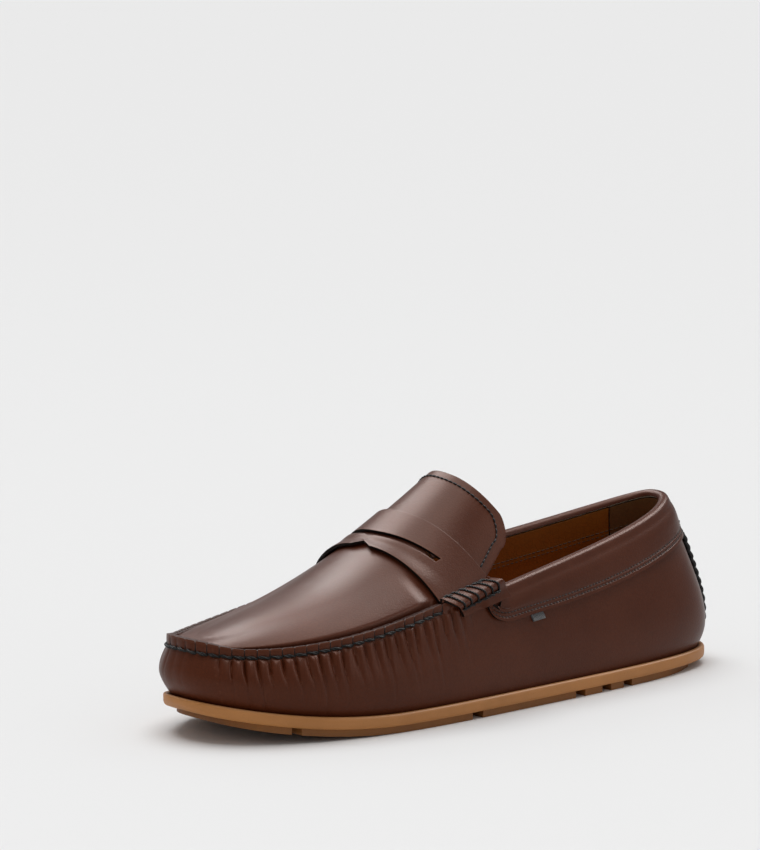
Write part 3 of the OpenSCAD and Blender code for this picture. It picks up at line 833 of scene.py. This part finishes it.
def strap_shape(a, b, off=APRON_T):
    c = 1 - a * 2                                   # 1 at the outer tail, -1 at the inner one
    m = np.where(c >= 0, 1, -1)
    k = np.abs(c)
    s = m * np.minimum(k / FLAT, 1) * S_END
    x = strap_rows(s, b)
    open_lip = 0.45 * np.exp(-((x - line(SLOT, s) - 2.4) / 2.2) ** 2) * np.maximum(0, 1 - (s / SLOT_END) ** 2)
    front_lip = 0.7 * (1 - ease(0, 0.3, b)) * ease(0.93, 0.7, np.abs(s))
    crown = top(x, s * half_width(x) + bend(x), 0.35 + off + open_lip + front_lip)
    out = crown.copy()
    for m1 in (1, -1):
        pick = (m == m1) & (k > FLAT)
        if not pick.any():
            continue
        g = b[pick]
        pts = []
        for s1 in (0.86 * m1, S_END * m1):
            x1 = line(FRONT, s1) + (line(REAR, s1) - line(FRONT, s1)) * g
            pts.append(top(x1, s1 * half_width(x1) + bend(x1), 0.35 + off))
        pts += [tail(q, m1, g, off) for q in range(4)]
        h = (k[pick] - FLAT) / (1 - FLAT)
        out[pick] = through(pts, 0.2 + 0.8 * h)
    return out


def saddle():
    def in_slot(a, b):
        return 0.44 < b < 0.56 and abs(a * 2 - 1) / FLAT * S_END < SLOT_END
    obj = leaf("saddle_strap_leather", 320, 50, strap_shape, thick=APRON_T, flip=True, cut=in_slot,
               soften=0.12, angle=60)
    settle(obj, "saddle_strap", LEATHER, cut=EDGE_AND_SHADOW)


def on_tail(m, h, g, off):
    """A point on the rolled end: h 0 at the upper row, .75 at the lower row, 1 at the cut end."""
    h, g = np.broadcast_arrays(np.asarray(h, float), np.asarray(g, float))
    return strap_shape((1 - m * (FLAT + (1 - FLAT) * h)) / 2, g, APRON_T + off)


def tail_out(m, h, g):
    d = on_tail(m, h, g, 0.5) - on_tail(m, h, g, 0.0)
    return d / np.linalg.norm(d, axis=-1, keepdims=True)


def beefrolls():
    for m, nodes in ((1, "beefroll_thread_lateral"), (-1, "beefroll_thread_medial")):
        lines = []
        for g in (0.07, 0.22, 0.37, 0.52, 0.67, 0.82):
            h = np.linspace(0.03, 0.72, 18)
            bowed = g + 0.05 * np.sin(np.pi * (h - 0.06) / 0.66)
            lines += twisted(on_tail(m, h, bowed, 0.22), tail_out(m, h, g + 0 * h), 2, 0.3, 2.6)
        wraps = cords(nodes + "_wraps", lines, 0.34, sides=1)
        settle(wraps, nodes, BLACK_THREAD)
        rows = []
        for h0, g1, lift in ((0.03, 0.9, 0.55), (0.73, 0.97, 0.35)):
            g = np.linspace(0.02, g1, 120)
            h = h0 + 0 * g
            rows += plump_stitches(on_tail(m, h, g, lift), tail_out(m, h, g), 3.9, 0.5,
                                   slant=0.3, rise=0.35, sink=0.5)
        row = cords(nodes + "_rows", rows, 0.46, sides=1, taper=True)
        settle(row, None, BLACK_THREAD)


def tongue_width(g):
    return np.where(g < 0.6, 0.928 - 0.155 * g,
                    0.66 + 0.175 * np.maximum(0, 1 - ((g - 0.6) / 0.4) ** 2) ** 0.75)


def tongue_at(c, g, k, off):
    """c 1 to -1 across, g 0 at the strap to 1 at the free end; k draws the outline in for lining and stitches."""
    s = c * tongue_width(g) * k
    f, r = line(REAR, s) - 0.2, line(TONGUE_END, s)
    x = f + (r - f) * g * (1 - 2 * (1 - k))
    return top(x, s * half_width(x) + bend(x), off)


def tongue_piece():
    obj = leaf("tongue_leather", 120, 60, lambda a, b: tongue_at(1 - 2 * a, b, 1.0, 0.0), thick=APRON_T,
               flip=True, soften=0.35, angle=60)
    settle(obj, "tongue", LEATHER, body="tongue", cut=RAW_EDGE)
    back = leaf("tongue_lining_leather", 100, 50, lambda a, b: tongue_at(1 - 2 * a, b, 0.98, -APRON_T - 0.3),
                thick=0.8, flip=True, soften=0.2)
    settle(back, "tongue_lining", LINING, body="tongue")
    g = np.linspace(0.05, 1, 60)
    c = np.linspace(1, -1, 80)
    path = np.concatenate([tongue_at(1 + 0 * g, g, 0.935, 0.0), tongue_at(c, 1 + 0 * c, 0.935, 0.0),
                           tongue_at(-1 + 0 * g, g[::-1], 0.935, 0.0)])
    up = tongue_at(c, 0.5 + 0 * c, 1, 1) - tongue_at(c, 0.5 + 0 * c, 1, 0)
    nrm = np.concatenate([np.repeat(up[:1], 60, 0), up, np.repeat(up[-1:], 60, 0)])
    st = cords("tongue_edge_stitches", run_stitches(path, nrm, 1.9, 0.6, 0.15, 0.34), 0.4, sides=1)
    settle(st, "tongue_stitching", BLACK_THREAD, body="tongue")


def panel_low(v):
    """Lower edge of the collar panel, swept up in a round corner at its front ends."""
    u = fold_v(v)[0]
    q = np.clip((u - 0.468) / 0.032, 0, 1)
    return curve(PANEL_LOW, u / 0.478) + 0.2 * (1 - np.sqrt(1 - q ** 2))


def below(v, d):
    """Height t at a distance d in mm above the panel's lower edge."""
    lo = panel_low(v)
    return at_drop(v, drop(v, lo) - d)


def collar_points(v0, v, off):
    """Stations from the lower edge, over the padded fold; v0 for the fold, v for the flat part below it."""
    e, n = edge(v0), out_of(edge, v0)
    lo = panel_low(v)
    c = e - n * 1.6 - UP * 2.6
    r = 1.4 + off
    pts = [wall(v, lo, 0.3 + off), wall(v, below(v, 1.2), 0.3 + off)]
    for d, sink in ((2.0, -0.3), (3.0, 0.0), (4.0, -0.3), (5.0, 0.05)):
        pts.append(wall(v, np.minimum(below(v, d), 0.955), 0.3 + off + sink))
    t5 = np.minimum(below(v, 5.0), 0.955)
    for d, puff in ((11.0, 0.3), (8.5, 0.25), (6.2, -0.1), (4.2, -0.65)):
        pts.append(wall(v, np.maximum(t5, at_drop(v, d)), 0.3 + off + puff))
    for ang in (28, 58, 88, 118, 148, 180):
        a = math.radians(ang)
        pts.append(c + r * (math.cos(a) * n + math.sin(a) * UP))
    return pts


def collar():
    def shape(a, b):
        v = -0.478 + a * 0.956
        return through(collar_points(v, v * (1 + 0.045 * (1 - ease(0.25, 0.62, b))), 1.2), b)
    obj = leaf("collar_panel_leather", 560, 64, shape, thick=1.2, flip=True, soften=0.2, angle=60)
    settle(obj, "collar_panel", LEATHER, cut=EDGE_AND_SHADOW)
    lines = []
    for d in (2.0, 4.0):
        v = np.linspace(-0.496, 0.496, 900)
        p = wall(v, np.minimum(below(v, d), 0.95), 1.22)
        lines += run_stitches(p, side_out(v, panel_low(v)), 1.3, 0.8, 0.1, 0.28, fine=4)
    st = cords("collar_panel_stitches", lines, 0.27, sides=0)
    settle(st, "collar_stitching", BROWN_THREAD)


def lining_top(v):
    return 0.972 - 0.012 * ease(0, 0.48, fold_v(v)[0])


GRIP_END = 0.157       # v where the suede meets the leather lining


def linings():
    def quarter(a0, a1):
        def shape(a, b):
            v = a0 + a * (a1 - a0)
            pressed = 0.25 * np.exp(-((drop(v, b) - 15) / 2.2) ** 2)      # the stitched channel
            return wall(v, (0.05 + 0.95 * b) * lining_top(v), -WRAP_T - 1.6 - pressed)
        return shape
    for name, a0, a1 in (("quarter_lining_lateral", GRIP_END + 0.003, 0.536),
                         ("quarter_lining_medial", 1.464, 1.997 - GRIP_END)):
        settle(leaf(name + "_leather", 160, 70, quarter(a0, a1), thick=1.0, flip=True, soften=0.2), name, LINING)
    grip = leaf("heel_grip_suede", 120, 60, quarter(-GRIP_END, GRIP_END), thick=1.0, flip=True, soften=0.2)
    settle(grip, "heel_grip", SUEDE)
    lines = []
    for d in (14, 16):
        for a0, a1 in ((0.1, 0.5), (1.5, 1.9)):
            v = np.linspace(a0, a1, 400)
            lines += run_stitches(wall(v, at_drop(v, d), -WRAP_T - 2.75), -side_out(v, 0.8 + 0 * v),
                                  1.7, 0.7, 0.1, 0.25, fine=4)
    settle(cords("quarter_lining_stitches", lines, 0.25, sides=0), "lining_stitching", TAN_THREAD)

    def vamp(a, b):
        v = 0.541 + a * 0.918
        pts = [wall(v, t, -WRAP_T - 1.4) for t in (0.04, 0.3, 0.55, 0.8)]
        pts += [across(v, f, -APRON_T - 0.5 - 1.2 * (1 - f)) for f in (0.12, 0.3, 0.52, 0.76, 1)]
        return through(pts, b)
    settle(leaf("vamp_lining_leather", 220, 60, vamp, weld=0.05, thick=0.9, flip=True), "vamp_lining", LINING)


def sock():
    def shape(a, b):
        v = 0.004 + 0.992 * a
        near, far = sole(v, 8.6 + 0 * v, 14.3), sole(2 - v, 8.6 + 0 * v, 14.3)
        return near + (far - near) * b[:, None]
    obj = leaf("sock_liner_leather", 240, 36, shape, thick=0.75, flip=True, soften=0.2)
    settle(obj, "sock_liner", LINING)


def back_seam():
    t = np.linspace(0.13, 0.77, 400)
    v = SEAM_V + 0 * t
    p, n, q = even(wall(v, t, 1.5), side_out(v, t), 0.4)
    w = np.cross(np.gradient(p, axis=0), n)
    w /= np.linalg.norm(w, axis=1, keepdims=True)
    lines = []
    for k in range(3):
        a = 2 * np.pi * (q / 13 + k / 3)
        lines.append(p + w * (1.6 * np.sin(a))[:, None] + n * (0.3 * np.sin(2 * a) + 0.3)[:, None])
    settle(cords("back_seam_braid", lines, 1.2, sides=2), "back_seam_cord", BLACK_THREAD)
    ends = []
    for t0, t1, w0, w1 in ((0.785, 0.845, -2.2, 2.2), (0.785, 0.845, 2.2, -2.2), (0.785, 0.785, -2.2, 2.2)):
        f = np.linspace(0, 1, 8)
        tt, ww = t0 + (t1 - t0) * f, w0 + (w1 - w0) * f
        at = wall(SEAM_V + 0 * f, tt, 1.9)
        across_v = wall(SEAM_V + 0.004 + 0 * f, tt, 1.9) - wall(SEAM_V - 0.004 + 0 * f, tt, 1.9)
        ends.append(at + across_v / np.linalg.norm(across_v, axis=1, keepdims=True) * ww[:, None])
    cross = cords("back_seam_cross_stitch", ends, 0.4, sides=1)
    settle(cross, None, BLACK_THREAD)
    tab = leaf("heel_tab_leather", 24, 24, lambda a, b: wall(0.006 + 0.044 * a, 0.03 + 0.08 * b, 1.5),
               thick=1.2, flip=True, soften=0.3)
    settle(tab, "heel_tab", LEATHER, cut=RAW_EDGE)


def side_tab():
    def shape(a, b):
        v = 0.424 + 0.018 * a
        return wall(v, panel_low(v) - 0.062 + 0.062 * b, 1.2 - 0.7 * b)
    tab = leaf("side_tab_ribbon", 20, 12, shape, thick=0.9, flip=True, soften=0.25)
    settle(tab, "woven_tab", RIBBON)


sole_parts()
upper_wrap()
apron_top()
moc_seam()
saddle()
beefrolls()
tongue_piece()
collar()
linings()
sock()
back_seam()
side_tab()


# ---------------------------------------------------------------- stage, light, camera
# lamps seen only in the gloss: place, size and power
LAMPS = {"back_left": ((0.05, -0.9, 1.15), (1.2, 0.8), 27), "overhead_front": ((0.38, 0.5, 1.25), (0.5, 0.5), 8),
         "right_front": ((-0.7, 1.3, 0.7), (0.5, 0.9), 5), "overhead_heel": ((-0.95, 0.05, 1.15), (0.7, 0.9), 23)}


def stage():
    bm = bmesh.new()
    bmesh.ops.create_grid(bm, x_segments=1, y_segments=1, size=12)
    mesh = bpy.data.meshes.new("floor")
    bm.to_mesh(mesh)
    bm.free()
    floor = add("floor", mesh)
    mat, _, bsdf = clear("pale_floor")
    bsdf.inputs["Base Color"].default_value = (0.80, 0.80, 0.80, 1)
    bsdf.inputs["Roughness"].default_value = 0.9
    bsdf.inputs["Specular IOR Level"].default_value = 0.1
    floor.data.materials.append(mat)
    bpy.context.scene.view_settings.view_transform = "Standard"
    world = bpy.data.worlds.new("studio")
    bpy.context.scene.world = world
    world.use_nodes = True
    world.node_tree.nodes["Background"].inputs[0].default_value = (1, 1, 1, 1)
    world.node_tree.nodes["Background"].inputs[1].default_value = 0.36
    sun = bpy.data.lights.new("overhead", "SUN")
    sun.energy, sun.angle = 2.15, math.radians(50)
    obj = bpy.data.objects.new("overhead", sun)
    bpy.context.scene.collection.objects.link(obj)
    obj.rotation_euler = Vector((0.02, 0.12, -1)).to_track_quat("-Z", "Y").to_euler()
    for name, (place, size, power) in LAMPS.items():
        lamp(name, place, size, power)


def lamp(name, place, size, power):
    light = bpy.data.lights.new(name, "AREA")
    light.shape = "RECTANGLE"
    light.size, light.size_y = size
    light.energy = power
    obj = bpy.data.objects.new(name, light)
    bpy.context.scene.collection.objects.link(obj)
    obj.location = place
    obj.visible_diffuse = False
    obj.rotation_euler = (Vector((0, 0, 0.05)) - Vector(place)).to_track_quat("-Z", "Y").to_euler()


VIEW_H = 850           # the longer side of the view, in the unit of the camera's focal length


def camera():
    to_cam = np.array([0.63008, 0.75090, 0.19783])
    right = np.array([-0.76604, 0.64279, 0.0])
    up = np.cross(to_cam, right)
    target, dist, focal = np.array([0, 0, 0.045]), 3.581, 7949.8
    beside, above = 61.6, 174.5        # where the target sits from the middle of the view, in focal's unit
    aim = -to_cam - right * (beside / focal) + up * (above / focal)
    f = Vector(aim).normalized()
    r = f.cross(Vector(up)).normalized()
    u = r.cross(f)
    cam = bpy.data.cameras.new("camera")
    cam.sensor_width = 36
    cam.lens = focal * cam.sensor_width / VIEW_H
    obj = bpy.data.objects.new("camera", cam)
    bpy.context.scene.collection.objects.link(obj)
    m = Matrix((r, u, -f)).transposed().to_4x4()
    m.translation = Vector(target + to_cam * dist)
    obj.matrix_world = m
    bpy.context.scene.camera = obj


stage()
camera()
